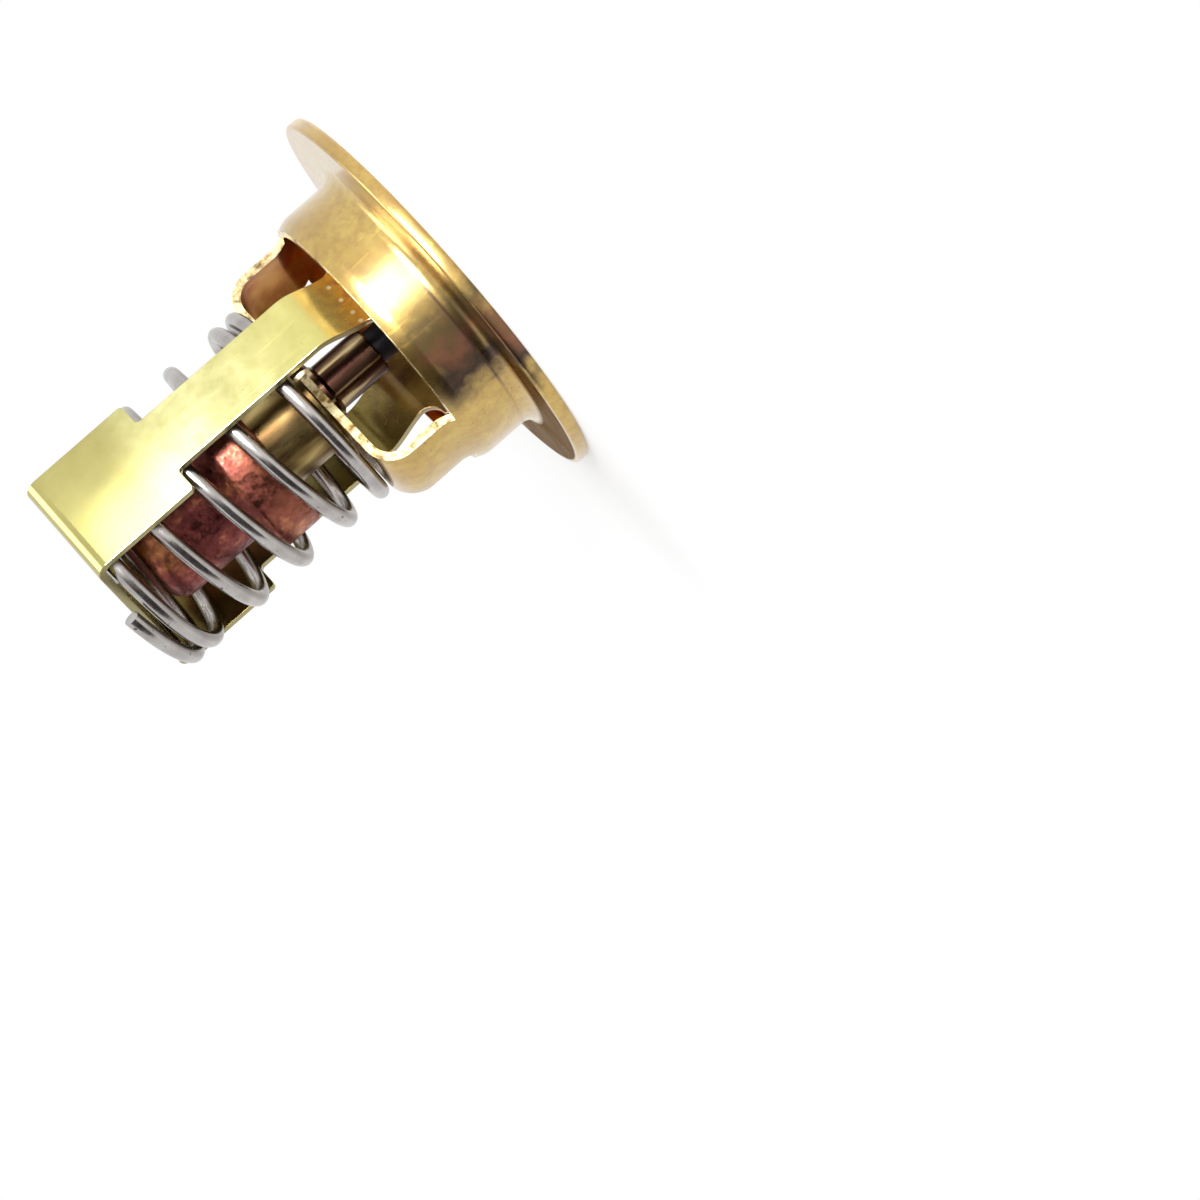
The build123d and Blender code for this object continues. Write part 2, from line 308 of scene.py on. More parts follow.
brass_tones = [(0.3, (0.44, 0.26, 0.02)), (0.5, (0.54, 0.34, 0.035)), (0.68, (0.62, 0.43, 0.07))]
brass_shade = (0.4, 0.2, 0.02)
tarnish_and_dark_reflection_tones = [(0.0, (0.16, 0.11, 0.06)), (0.2, (0.04, 0.028, 0.026)), (0.5, (0.25, 0.1, 0.055)),
                 (0.78, (0.14, 0.09, 0.035)), (1.0, (0.12, 0.09, 0.04))]
tarnish_and_dark_reflection_start, tarnish_and_dark_reflection_end = math.radians(-64), math.radians(-31)
inside_shade_tones = [(0.35, (0.42, 0.13, 0.03)), (0.6, (0.55, 0.27, 0.07))]
torn_tones = [(0.36, (0.2, 0.1, 0.02)), (0.46, (0.62, 0.45, 0.16)), (0.58, (0.9, 0.78, 0.45))]
torn_play, torn_soft = 0.05 * MM, 0.01 * MM
root_shade_tone = (0.08, 0.035, 0.015)
root_shade_start, root_shade_end = math.radians(-75), math.radians(-20)
dull_tone, dull_sheen = (0.2, 0.12, 0.04), (0.3, 0.2, 0.08)
dull_start, dull_end = math.radians(-165), math.radians(-52)
pit_tone = (0.15, 0.07, 0.02)
pit_start, pit_end = math.radians(-140), math.radians(-68)
skin, tree, shader, where = new_skin("drawn_brass")
x, y, z, away, bearing = place_parts(tree, where)
facing_x, facing_y, facing_z = facing_parts(tree)
shader.inputs["Metallic"].default_value = 1.0
shader.inputs["Coat IOR"].default_value = 2.1
shader.inputs["Coat Roughness"].default_value = 0.24
drift = noise(tree, where, 260, 3)
base = ramp(tree, drift, brass_tones)
mottle = noise(tree, where, 1250, 5, 0.68)
base = blend(tree, map_range(tree, mottle, 0.44, 0.62, 0.0, 0.5), base, brass_shade)
# a band of handling tarnish and painted dark reflection runs up one side of the drum and out over
# the rim
blotch = noise(tree, where, 430, 4, 0.55)
ragged = plus(tree, bearing, times(tree, calc(tree, "SUBTRACT", blotch, 0.5), 0.55))
tarnish_and_dark_reflection = times(tree, window(tree, ragged, tarnish_and_dark_reflection_start, tarnish_and_dark_reflection_end, 0.08),
                map_range(tree, blotch, 0.34, 0.46, 0.6, 1.0),
                map_range(tree, away, bridge_radius + 0.2 * MM, drum_radius, 0.0, 1.0))
across_band = map_range(tree, ragged, tarnish_and_dark_reflection_start, tarnish_and_dark_reflection_end, 0.0, 1.0)
base = blend(tree, times(tree, tarnish_and_dark_reflection, 0.95), base, ramp(tree, across_band, tarnish_and_dark_reflection_tones))
# the inside and the faces under the cross strip are painted darker and redder: painted shade in the
# hollow
outward = calc(tree, "DIVIDE", plus(tree, times(tree, facing_x, x), times(tree, facing_y, y)), away)
under_strip = times(tree, map_range(tree, facing_z, -0.6, -0.4, 1.0, 0.0),
                    map_range(tree, z, shoulder_end, shoulder_end + MM, 0.0, 1.0))
inside = calc(tree, "MAXIMUM", map_range(tree, outward, -0.5, -0.3, 1.0, 0.0), under_strip)
base = blend(tree, inside, base, ramp(tree, blotch, inside_shade_tones))
# the cropped edges are bare and torn
from_middle = calc(tree, "ABSOLUTE", y)
bridge_edge = bridge_half_width - torn_play, bridge_half_width + torn_play
sill_edge = window_sill - torn_play, window_sill + torn_play
cut_side = times(tree, window(tree, from_middle, *bridge_edge, torn_soft),
                 map_range(tree, z, sill_edge[0], window_sill, 0.0, 1.0))
cut_sill = times(tree, window(tree, z, *sill_edge, torn_soft),
                 map_range(tree, from_middle, bridge_half_width, bridge_edge[1], 0.0, 1.0))
cut = calc(tree, "MAXIMUM", cut_side, cut_sill)
torn = noise(tree, where, 1500, 4, 0.65)
base = blend(tree, cut, base, ramp(tree, torn, torn_tones))
# a fine line of painted shade lies where the drum meets its root
root_top = flange_thickness + drum_root
root_shade_line = times(tree, window(tree, z, root_top - 0.1 * MM, root_top + 0.12 * MM, 0.06 * MM),
                  window(tree, ragged, root_shade_start, root_shade_end, 0.2),
                  map_range(tree, away, drum_radius - 0.1 * MM, drum_radius, 0.0, 1.0))
base = blend(tree, times(tree, root_shade_line, 0.8), base, root_shade_tone)
# the flange's back is dull on the side where the tarnish and painted dark reflection end
past_root = map_range(tree, away, drum_radius + 0.6 * MM, drum_radius + 1.1 * MM, 0.0, 1.0)
before_rim = map_range(tree, away, flange_radius - 0.5 * MM, flange_radius - 0.3 * MM, 1.0, 0.0)
dull_back = times(tree, window(tree, ragged, dull_start, dull_end, 0.2), past_root, before_rim)
base = blend(tree, times(tree, dull_back, 0.8), base, dull_tone)
tint = blend(tree, dull_back, (1.0, 1.0, 1.0), dull_sheen)
tree.links.new(tint, shader.inputs["Specular Tint"])
uncoated = calc(tree, "MAXIMUM", inside, times(tree, tarnish_and_dark_reflection, 0.8))
uncoated = calc(tree, "MAXIMUM", dull_back, uncoated)
tree.links.new(map_range(tree, uncoated, 0.0, 1.0, 0.8, 0.0), shader.inputs["Coat Weight"])
# small pits and dark specks, closer together towards the drum's far quarter
pit_limit = map_range(tree, window(tree, bearing, pit_start, pit_end, 0.2), 0.0, 1.0, 0.71, 0.65)
pit_depth = calc(tree, "SUBTRACT", noise(tree, where, 3400, 3, 0.6), pit_limit)
pits = map_range(tree, pit_depth, 0.0, 0.05, 0.0, 0.8)
base = blend(tree, pits, base, pit_tone)
tree.links.new(base, shader.inputs["Base Color"])
lines = scratches(tree, where, 1500, (1, 1, 0.08), 0.62, 0.72)
rough = plus(tree, map_range(tree, drift, 0.3, 0.7, 0.2, 0.26), times(tree, tarnish_and_dark_reflection, 0.12),
             times(tree, lines, 0.1), times(tree, calc(tree, "MAXIMUM", inside, cut), 0.12))
tree.links.new(rough, shader.inputs["Roughness"])
relief = times(tree, calc(tree, "SUBTRACT", noise(tree, where, 1100, 3), pits), 0.5)
relief = calc(tree, "SUBTRACT", relief, times(tree, lines, 0.2))
relief = plus(tree, relief, times(tree, cut, torn, 6.0))
waves = noise(tree, where, 230, 2, 0.45)
emboss(tree, shader, plus(tree, waves, times(tree, relief, 0.06)), 0.12 * MM)
cup.data.materials.append(skin)
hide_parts("flange_cup")
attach(cup, "housing")


# ---------------------------------------------------------------------------------------
# Valve plate. A brass disc that lies in the mouth against the seat. The stirrup's two tabs
# come through its slots and are peened over on the front.
plate_low, plate_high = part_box("valve_plate")
plate_radius = plate_high.x
plate_edge = 0.1 * MM
sheet = 0.65 * MM
dimple_radius = 2.2 * MM
dimple_depth = 0.3 * MM
plate_core = 0.2 * MM     # the last ring before the flat face at each end
plate = turn_piece("plate", [
    (plate_core, plate_low.z), (plate_radius - plate_edge, plate_low.z),
    (plate_radius, plate_low.z + plate_edge), (plate_radius, plate_high.z - plate_edge),
    (plate_radius - plate_edge, plate_high.z), (dimple_radius + 0.15 * MM, plate_high.z),
    (dimple_radius, plate_high.z - 0.1 * MM),
    (dimple_radius - 0.2 * MM, plate_high.z - dimple_depth),
    (plate_core, plate_high.z - dimple_depth)], closed=False)
tab_centre = 7.55 * MM + sheet / 2
tab_half = 1.7 * MM
head_reach = 0.4 * MM
head_height = 0.3 * MM
tab_play = 0.05 * MM
for side in (-1, 1):
    # a slot for the tab, and a pocket for its peened head
    for reach, top in ((tab_play, MM), (tab_play + head_reach, head_height)):
        half_x, half_y, tab_y = tab_half + reach, sheet / 2 + reach, side * tab_centre
        cut_with_box(plate, (-half_x, tab_y - half_y, -MM), (half_x, tab_y + half_y, top))
blunt_edges(plate, 0)
plate.data.materials.append(cup.data.materials[0])
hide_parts("valve_plate")
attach(plate, "valve")


# ---------------------------------------------------------------------------------------
# Stirrup. One strip of satin brass, blanked with two wide feet and two narrower arms that
# sweep out again at their ends, then bent square at the base and set inwards where the
# arms enter the windows. Its tabs are peened in the valve plate.
stirrup_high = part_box("stirrup")[1]
stirrup_height = stirrup_high.z
leg_centre = stirrup_high.y - sheet / 2
foot_half = stirrup_high.x
arm_half = 2.55 * MM
foot_start = 23.9 * MM
foot_corner = 0.35 * MM
bend_inner = 0.5 * MM
set_low, set_high = 6.4 * MM, 10.8 * MM
arm_end = plate_high.z
arm_end_half = 4.2 * MM
arm_end_top = arm_end + 5 * MM
arm_end_sweep = 1.3 * MM
arm_end_corner = 0.3 * MM


def strip_path():
    """Middle line of the strip's section from the base's centre to an arm's end, as (y, z)."""
    bend = bend_inner + sheet / 2
    base_z = stirrup_height - sheet / 2
    path = [(0.0, base_z)]
    path += arc_points((leg_centre - bend, base_z - bend), bend, 90, 0, 10)
    path.append((leg_centre, (foot_start + set_high) / 2))
    path += ease_points((leg_centre, set_high), (tab_centre, set_low), 16)
    return path + [(tab_centre, arm_end)]


def blank_outline():
    """Half of the flat blank's outline on the +X side, from the base down, as (x, z)."""
    foot, sweep, end = foot_corner, arm_end_sweep, arm_end_corner
    points = [(foot_half, stirrup_height + MM)]
    points += arc_points((foot_half - foot, foot_start + foot), foot, 0, -90, 5)
    points += arc_points((arm_half + foot, foot_start - foot), foot, 90, 180, 5)
    points += arc_points((arm_half + sweep, arm_end_top + sweep), sweep, 180, 270, 10)
    points += arc_points((arm_end_half - end, arm_end_top - end), end, 90, 0, 4)
    return points + [(arm_end_half, arm_end - MM)]


def draw_chain(name, points):
    """A chain of edges through points, drawn vertex by vertex."""
    bpy.ops.object.select_all(action="DESELECT")
    bpy.ops.mesh.primitive_plane_add(size=MM, location=(0, 0, 0))
    chain = bpy.context.object
    chain.name = chain.data.name = name
    bpy.ops.object.mode_set(mode="EDIT")
    bpy.ops.mesh.select_mode(type="VERT")
    bpy.ops.mesh.select_all(action="SELECT")
    bpy.ops.mesh.merge(type="CENTER")
    bpy.ops.transform.translate(value=points[0])
    for point, following in zip(points, points[1:]):
        step = [b - a for a, b in zip(point, following)]
        bpy.ops.mesh.extrude_vertices_move(TRANSFORM_OT_translate={"value": step})
    return chain


line = strip_path()
edge_x = -foot_half - MM
section = [(edge_x, -y, z) for y, z in line[:0:-1]] + [(edge_x, y, z) for y, z in line]
stirrup = draw_chain("stirrup_strip", section)
bpy.ops.mesh.select_all(action="SELECT")
bpy.ops.mesh.extrude_edges_move(TRANSFORM_OT_translate={"value": (-2 * edge_x, 0, 0)})
bpy.ops.object.mode_set(mode="OBJECT")
thick = stirrup.modifiers.new("sheet", "SOLIDIFY")
thick.thickness = sheet
thick.offset = 0
thick.use_even_offset = True
bpy.ops.object.modifier_apply(modifier="sheet")
half = blank_outline()
depth = stirrup_high.y + MM
rim = [(x, -depth, z) for x, z in half] + [(-x, -depth, z) for x, z in half[::-1]]
blank = draw_chain("blank", rim)
bpy.ops.mesh.select_all(action="SELECT")
bpy.ops.mesh.edge_face_add()
bpy.ops.mesh.extrude_region_move(TRANSFORM_OT_translate={"value": (0, 2 * depth, 0)})
bpy.ops.mesh.select_all(action="SELECT")
bpy.ops.mesh.normals_make_consistent(inside=False)
bpy.ops.object.mode_set(mode="OBJECT")
bpy.ops.object.select_all(action="DESELECT")
stirrup.select_set(True)
bpy.context.view_layer.objects.active = stirrup
trim = stirrup.modifiers.new("trim", "BOOLEAN")
trim.operation = "INTERSECT"
trim.solver = "EXACT"
trim.object = blank
bpy.ops.object.modifier_apply(modifier="trim")
bpy.data.objects.remove(blank, do_unlink=True)
blunt_edges(stirrup, 0.09 * MM, sharp=50)
for side in (-1, 1):
    # a tab through the plate, and its peened head
    for reach, low, high in ((0, 0.2 * MM, arm_end + 0.1 * MM),
                             (head_reach, plate_low.z, head_height)):
        bpy.ops.object.select_all(action="DESELECT")
        bpy.ops.mesh.primitive_cube_add(size=1, location=(0, side * tab_centre, (low + high) / 2))
        peen = bpy.context.object
        peen.scale = (2 * (tab_half + reach), sheet + 2 * reach, high - low)
        bpy.ops.object.transform_apply(location=True, rotation=True, scale=True)
        blunt_edges(peen, 0.08 * MM)
        stirrup.select_set(True)
        bpy.context.view_layer.objects.active = stirrup
        bpy.ops.object.join()
strip_tones = [(0.3, (0.62, 0.58, 0.22)), (0.5, (0.7, 0.67, 0.3)), (0.7, (0.77, 0.74, 0.38))]
worn_tone, arm_tone, foot_tone = (0.5, 0.46, 0.13), (0.62, 0.55, 0.13), (0.4, 0.345, 0.07)
stain_and_reflection_tones = [(0.34, (0.4, 0.125, 0.008)), (0.58, (0.62, 0.26, 0.012))]
stain_and_reflection_full, stain_and_reflection_gone = 7.4 * MM, 10.6 * MM
inner_shade_tones = [(0.36, (0.07, 0.04, 0.008)), (0.6, (0.17, 0.12, 0.02))]
mark_glint_tone, sheared_side_shade_tone, pit_tone = (0.95, 0.8, 0.4), (0.22, 0.17, 0.04), (0.25, 0.19, 0.05)
mark_places = (1.5 * MM, 0.05 * MM, -1.35 * MM, -2.3 * MM)
mark_z = 6.95 * MM
skin, tree, shader, where = new_skin("strip_brass")
x, y, z = place_parts(tree, where)[:3]
facing_x, facing_y = facing_parts(tree)[:2]
shader.inputs["Coat IOR"].default_value = 1.9
shader.inputs["Coat Roughness"].default_value = 0.22
drift = noise(tree, where, 210, 3)
base = ramp(tree, drift, strip_tones)
wear = map_range(tree, noise(tree, where, 900, 5, 0.7), 0.46, 0.62, 0.0, 0.4)
base = blend(tree, wear, base, worn_tone)
base = blend(tree, map_range(tree, z, 9 * MM, 21 * MM, 0.8, 0.0), base, arm_tone)
foot = map_range(tree, z, 22 * MM, 27 * MM, 0.0, 1.0)
base = blend(tree, times(tree, foot, 0.85), base, foot_tone)
# the arms' ends pick up a warmer stain, partly a painted orange reflection of the drum, and the
# inner faces are painted darker as shade and kept duller
uneven = plus(tree, z, times(tree, noise(tree, where, 600, 4), 1.6 * MM))
stain_and_reflection = map_range(tree, uneven, stain_and_reflection_full, stain_and_reflection_gone, 0.97, 0.0)
base = blend(tree, stain_and_reflection, base, ramp(tree, noise(tree, where, 1500, 4), stain_and_reflection_tones))
outward = times(tree, facing_y, calc(tree, "SIGN", y))
# the darker inner faces are painted shade
inner = map_range(tree, outward, -0.5, -0.3, 1.0, 0.0)
inner_shade_tone = ramp(tree, noise(tree, where, 420, 3), inner_shade_tones)
base = blend(tree, times(tree, inner, 0.85), base, inner_shade_tone)
tree.links.new(map_range(tree, stain_and_reflection, 0.0, 1.0, 0.9, 0.45), shader.inputs["Metallic"])
tree.links.new(map_range(tree, inner, 0.0, 1.0, 0.6, 0.1), shader.inputs["Coat Weight"])
# four round coined marks stand in a row across the stain and painted reflection on each arm, each
# painted as a bright glint
outer = map_range(tree, outward, 0.3, 0.5, 0.0, 0.9)
along = calc(tree, "SUBTRACT", z, mark_z)
for mark_x in mark_places:
    across = calc(tree, "SUBTRACT", x, mark_x)
    spread = calc(tree, "SQRT", plus(tree, times(tree, across, across), times(tree, along, along)))
    mark = times(tree, outer, map_range(tree, spread, 0.1 * MM, 0.22 * MM, 1.0, 0.0))
    base = blend(tree, mark, base, mark_glint_tone)
# the sheared sides are painted darker: painted shade along the strip's edges
side = map_range(tree, calc(tree, "ABSOLUTE", facing_x), 0.3, 0.6, 0.0, 0.8)
base = blend(tree, side, base, sheared_side_shade_tone)
pits = map_range(tree, noise(tree, where, 1900, 3, 0.6), 0.71, 0.76, 0.0, 0.7)
pits = times(tree, pits, map_range(tree, inner, 0.0, 0.5, 1.0, 0.0))
base = blend(tree, pits, base, pit_tone)
tree.links.new(base, shader.inputs["Base Color"])
lines = scratches(tree, where, 2400, (1, 1, 0.05), 0.58, 0.7)
rough = plus(tree, map_range(tree, drift, 0.3, 0.7, 0.2, 0.3), times(tree, lines, 0.04))
rough = times(tree, rough, map_range(tree, foot, 0.0, 1.0, 1.0, 0.75))
tree.links.new(rough, shader.inputs["Roughness"])
grain = noise(tree, where, 5200, 2, 0.5, (1, 1, 0.04))
relief = calc(tree, "SUBTRACT", times(tree, grain, 0.2), times(tree, pits, 0.2))
emboss(tree, shader, relief, 0.01 * MM, 0.25)
stirrup.data.materials.append(skin)
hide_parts("stirrup")
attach(stirrup, "valve")


# ---------------------------------------------------------------------------------------
# Wax element. A turned brass guide, staked by its neck in the cross strip, and a drawn
# copper cup crimped round the guide's flange. A blackened steel piston slides in the neck.
guide_low, guide_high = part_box("element_guide")
neck_radius = 2.0 * MM
collar_radius = 2.7 * MM
guide_body = 4.0 * MM
guide_flange = guide_high.x
guide_flange_low = 18.55 * MM
piston_low, piston_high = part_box("piston")
piston_radius = piston_high.x
strip_inner = cup_height - cup_wall
chip = 0.15 * MM
bore_radius = piston_radius + 0.05 * MM
stake_low, stake_high = strip_inner - 0.75 * MM, strip_inner - 0.4 * MM
guide = turn_piece("guide", [
    (bore_radius, guide_low.z + 2 * MM), (bore_radius, guide_low.z + chip),
    (piston_radius + chip, guide_low.z), (neck_radius - chip, guide_low.z),
    (neck_radius, guide_low.z + chip), (neck_radius, stake_low),
    (neck_radius + 0.2 * MM, strip_inner - 0.55 * MM), (collar_radius, stake_high),
    (collar_radius, strip_inner - 0.05 * MM), (neck_radius, strip_inner),
    (neck_radius, cup_height), (guide_body - chip, cup_height),
    (guide_body, cup_height + chip), (guide_body, guide_flange_low - 0.2 * MM),
    (guide_body + 0.2 * MM, guide_flange_low), (guide_flange, guide_flange_low),
    (guide_flange, guide_high.z), (bore_radius, guide_high.z)], around=96)
blunt_edges(guide, 0)
body_tones = [(0.36, (0.09, 0.045, 0.02)), (0.5, (0.27, 0.18, 0.065)), (0.64, (0.5, 0.38, 0.15))]
neck_shade_tones = [(0.4, (0.05, 0.02, 0.014)), (0.54, (0.11, 0.06, 0.035)), (0.62, (0.5, 0.38, 0.2))]
highlight_line_tone, dark_reflection_tone = (0.75, 0.58, 0.28), (0.1, 0.05, 0.02)
skin, tree, shader, where = new_skin("turned_brass")
z, away, bearing = place_parts(tree, where)[2:]
shader.inputs["Metallic"].default_value = 1.0
streaks = noise(tree, where, 520, 3, 0.5, (1, 1, 0.2))
base = ramp(tree, streaks, body_tones)
# the neck inside the cup is painted darker: painted shade in the hollow
on_neck = map_range(tree, z, strip_inner, cup_height, 1.0, 0.0)
base = blend(tree, on_neck, base, ramp(tree, streaks, neck_shade_tones))
# two thin painted highlight lines run down the neck, and one painted dark reflection band runs down
# the body
uneven = plus(tree, bearing, times(tree, streaks, 0.1))
for start, end, soft, low, high, tone in ((-52, -47, 0.02, 0, strip_inner, highlight_line_tone),
                                          (8, 15, 0.02, 0, strip_inner, highlight_line_tone),
                                          (-40, -14, 0.1, cup_height, guide_flange_low, dark_reflection_tone)):
    band = times(tree, window(tree, uneven, math.radians(start), math.radians(end), soft),
                 window(tree, z, low, high, 0.1 * MM))
    base = blend(tree, times(tree, band, 0.7), base, tone)
tree.links.new(base, shader.inputs["Base Color"])
grain = noise(tree, where, 1700, 3, 0.6, (1, 1, 0.3))
tree.links.new(map_range(tree, grain, 0.35, 0.65, 0.26, 0.36), shader.inputs["Roughness"])
emboss(tree, shader, noise(tree, where, 900, 2, 0.5, (1, 1, 3)), 0.008 * MM, 0.3)
guide.data.materials.append(skin)
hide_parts("element_guide")
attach(guide, "housing")

rod_core = 0.3 * MM     # the last ring before the flat face at each end
rod = turn_piece("rod", [
    (rod_core, piston_low.z), (piston_radius - chip, piston_low.z),
    (piston_radius, piston_low.z + chip), (piston_radius, piston_high.z - chip),
    (piston_radius - chip, piston_high.z), (rod_core, piston_high.z)], closed=False, around=64)
blunt_edges(rod, 0)
steel_tones = [(0.3, (0.012, 0.012, 0.016)), (0.7, (0.05, 0.05, 0.06))]
skin, tree, shader, where = new_skin("black_steel")
shader.inputs["Metallic"].default_value = 0.6
tree.links.new(ramp(tree, noise(tree, where, 1500), steel_tones), shader.inputs["Base Color"])
shader.inputs["Roughness"].default_value = 0.32
rod.data.materials.append(skin)
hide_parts("piston")
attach(rod, "valve")

copper_low, copper_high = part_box("copper_cup")
shell_radius = copper_high.x
copper_wall = 0.5 * MM
copper_body = 4.9 * MM
shoulder_top = 21.85 * MM
diaphragm_top = 20.85 * MM
copper_round = 1.5 * MM
crimp_inner = 5.6 * MM
lip = 0.35 * MM
flare = 0.6 * MM
wall_low = shoulder_top + 1.3 * MM
wall_length = copper_high.z - copper_round - wall_low
round_centre = (copper_body - copper_round, copper_high.z - copper_round)
nose_radius = 0.8 * MM
flange_edge = guide_flange + 0.001 * MM
copper = turn_piece("copper_shell", (
    [(crimp_inner, copper_low.z + copper_wall), (crimp_inner, copper_low.z + 0.1 * MM),
     (crimp_inner + 0.1 * MM, copper_low.z)]
    + arc_points((shell_radius - lip, copper_low.z + lip), lip, -90, 0, 5)
    + arc_points((shell_radius - 2 * lip, shoulder_top - 2 * lip), 2 * lip, 0, 60, 6)
    + arc_points((copper_body + flare, wall_low), flare, 240, 180, 5)
    + [(copper_body, wall_low + wall_length * i / 14) for i in range(1, 14)]
    + arc_points(round_centre, copper_round, 0, 80, 8)
    + [(nose_radius, copper_high.z), (nose_radius, copper_high.z - copper_wall)]
    + arc_points(round_centre, copper_round - copper_wall, 80, 0, 6)
    + [(copper_body - copper_wall, shoulder_top + 0.6 * MM), (flange_edge, diaphragm_top),
       (flange_edge, copper_low.z + copper_wall)]), around=128)
blunt_edges(copper, 0)
copper_tones = [(0.36, (0.13, 0.03, 0.03)), (0.54, (0.25, 0.068, 0.058)), (0.7, (0.64, 0.26, 0.11))]
highlight_tint_tone = (0.5, 0.2, 0.08)
skin, tree, shader, where = new_skin("drawn_copper")
shader.inputs["Metallic"].default_value = 1.0
base = ramp(tree, noise(tree, where, 330, 5, 0.6), copper_tones)
# the shoulder is painted brighter and more orange than the wall, a painted tint for its highlight
z = place_parts(tree, where)[2]
base = blend(tree, map_range(tree, z, 19.5 * MM, 22.5 * MM, 0.25, 0.0), base, highlight_tint_tone)
tree.links.new(base, shader.inputs["Base Color"])
rough = map_range(tree, noise(tree, where, 1900, 4, 0.7), 0.38, 0.62, 0.28, 0.62)
tree.links.new(rough, shader.inputs["Roughness"])
emboss(tree, shader, noise(tree, where, 420, 3), 0.25 * MM, 0.6)
copper.data.materials.append(skin)
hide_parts("copper_cup")
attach(copper, "housing")


# ---------------------------------------------------------------------------------------
# Return spring. Round stainless wire, coiled right-handed: a flat end turn on the cross
# strip, an open middle, a closing turn on the stirrup's base, and a cut end that hangs
# past the base's edge.
wire_radius = 0.625 * MM
coil_radius = 8.3 * MM
coil_start = 254.3
coil_play = 0.04 * MM
coil_low = cup_height + wire_radius + coil_play
coil_high = stirrup_height - sheet - wire_radius - coil_play
coil_lean = 0.9 * MM
lean_start = 0.9
lean_bearing = math.radians(263.5)
wire_end = 5.9
# turns from the wire's first end, and the height of the coil's middle there
coil_law = [(0, coil_low - 0.6 * MM), (0.2, coil_low), (0.7, coil_low), (1.0, coil_low + 0.73 * MM),
            (1.7, coil_low + 3.43 * MM), (4.7, coil_high - 1.68 * MM), (4.8, coil_high - 0.99 * MM),
            (5.03, coil_high - coil_lean), (5.7, coil_high - coil_lean + 1.08 * MM),
            (wire_end, coil_high - coil_lean + 1.87 * MM)]


def coil_height(turn):
    """The height of the coil's middle after so many turns, by straight runs between the list's."""
    for (turn_a, high_a), (turn_b, high_b) in zip(coil_law, coil_law[1:]):
        if turn <= turn_b:
            return high_a + (high_b - high_a) * (turn - turn_a) / (turn_b - turn_a)
    return coil_law[-1][1]


def coil_point(turn, reach=0.06, samples=7):
    """A point of the wire's middle line, its changes of pitch eased over a short stretch."""
    offsets = [reach * (2 * i / (samples - 1) - 1) for i in range(samples)]
    spots = [min(max(turn + offset, 0), wire_end) for offset in offsets]
    angle = math.radians(coil_start + 360 * turn)
    lean = coil_lean * min(max(turn - lean_start, 0), 1) * math.cos(angle - lean_bearing)
    height = sum(coil_height(spot) for spot in spots) / samples + lean
    return coil_radius * math.cos(angle), coil_radius * math.sin(angle), height


bpy.ops.object.select_all(action="DESELECT")
bpy.ops.curve.primitive_nurbs_path_add(location=(0, 0, 0))
spring = bpy.context.object
spring.name = spring.data.name = "spring_wire"
wire = spring.data
wire.splines.clear()
run = wire.splines.new("POLY")
steps = round(wire_end * 96)
run.points.add(steps)
for i, point in enumerate(run.points):
    point.co = (*coil_point(wire_end * i / steps), 1)
wire.dimensions = "3D"
wire.bevel_depth = wire_radius
wire.bevel_resolution = 8
wire.use_fill_caps = True
bpy.ops.object.convert(target="MESH")
spring = bpy.context.object
blunt_edges(spring, 0.06 * MM, sharp=60)
wire_tones = [(0.35, (0.37, 0.345, 0.33)), (0.65, (0.5, 0.475, 0.455))]
underside_shade_tone, pit_tone = (0.15, 0.11, 0.085), (0.05, 0.04, 0.035)
skin, tree, shader, where = new_skin("stainless_wire")
shader.inputs["Metallic"].default_value = 1.0
base = ramp(tree, noise(tree, where, 500), wire_tones)
# the undersides are painted darker as shade, and small pits lie on the turns
facing_z = facing_parts(tree)[2]
base = blend(tree, map_range(tree, facing_z, -0.85, -0.35, 0.75, 0.0), base, underside_shade_tone)
pits = map_range(tree, noise(tree, where, 2300, 2, 0.5), 0.7, 0.74, 0.0, 0.85)
base = blend(tree, pits, base, pit_tone)
tree.links.new(base, shader.inputs["Base Color"])
rough = map_range(tree, noise(tree, where, 1400), 0.3, 0.7, 0.18, 0.28)
tree.links.new(rough, shader.inputs["Roughness"])
emboss(tree, shader, calc(tree, "SUBTRACT", noise(tree, where, 900, 2), pits), 0.01 * MM, 0.3)
spring.data.materials.append(skin)
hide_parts("return_spring")
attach(spring, "housing")
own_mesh(spring)


# ---------------------------------------------------------------------------------------
# Inside the element: a disc and a rubber plug behind the piston, the diaphragm, and the
# wax. They are sealed in and keep their solids, with their own finishes.
def inner_skin(name, dark, pale, rough):
    """A matt material that drifts between two tones."""
    skin, tree, shader, where = new_skin(name)
    tone = ramp(tree, noise(tree, where, 800), [(0.3, dark), (0.7, pale)])
    tree.links.new(tone, shader.inputs["Base Color"])
    shader.inputs["Roughness"].default_value = rough
    return skin


inner_finishes = {
    "anti_chafe_disc": inner_skin("white_ptfe", (0.75, 0.75, 0.72), (0.88, 0.88, 0.85), 0.5),
    "rubber_plug": inner_skin("black_rubber", (0.015, 0.015, 0.015), (0.04, 0.04, 0.04), 0.7),
    "diaphragm": inner_skin("diaphragm_rubber", (0.015, 0.015, 0.015), (0.04, 0.04, 0.04), 0.7),
    "wax_charge": inner_skin("copper_wax", (0.3, 0.14, 0.09), (0.5, 0.28, 0.18), 0.6),
}
for node_name, finish in inner_finishes.items():
    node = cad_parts[node_name]
    node.data.materials.clear()
    node.data.materials.append(finish)


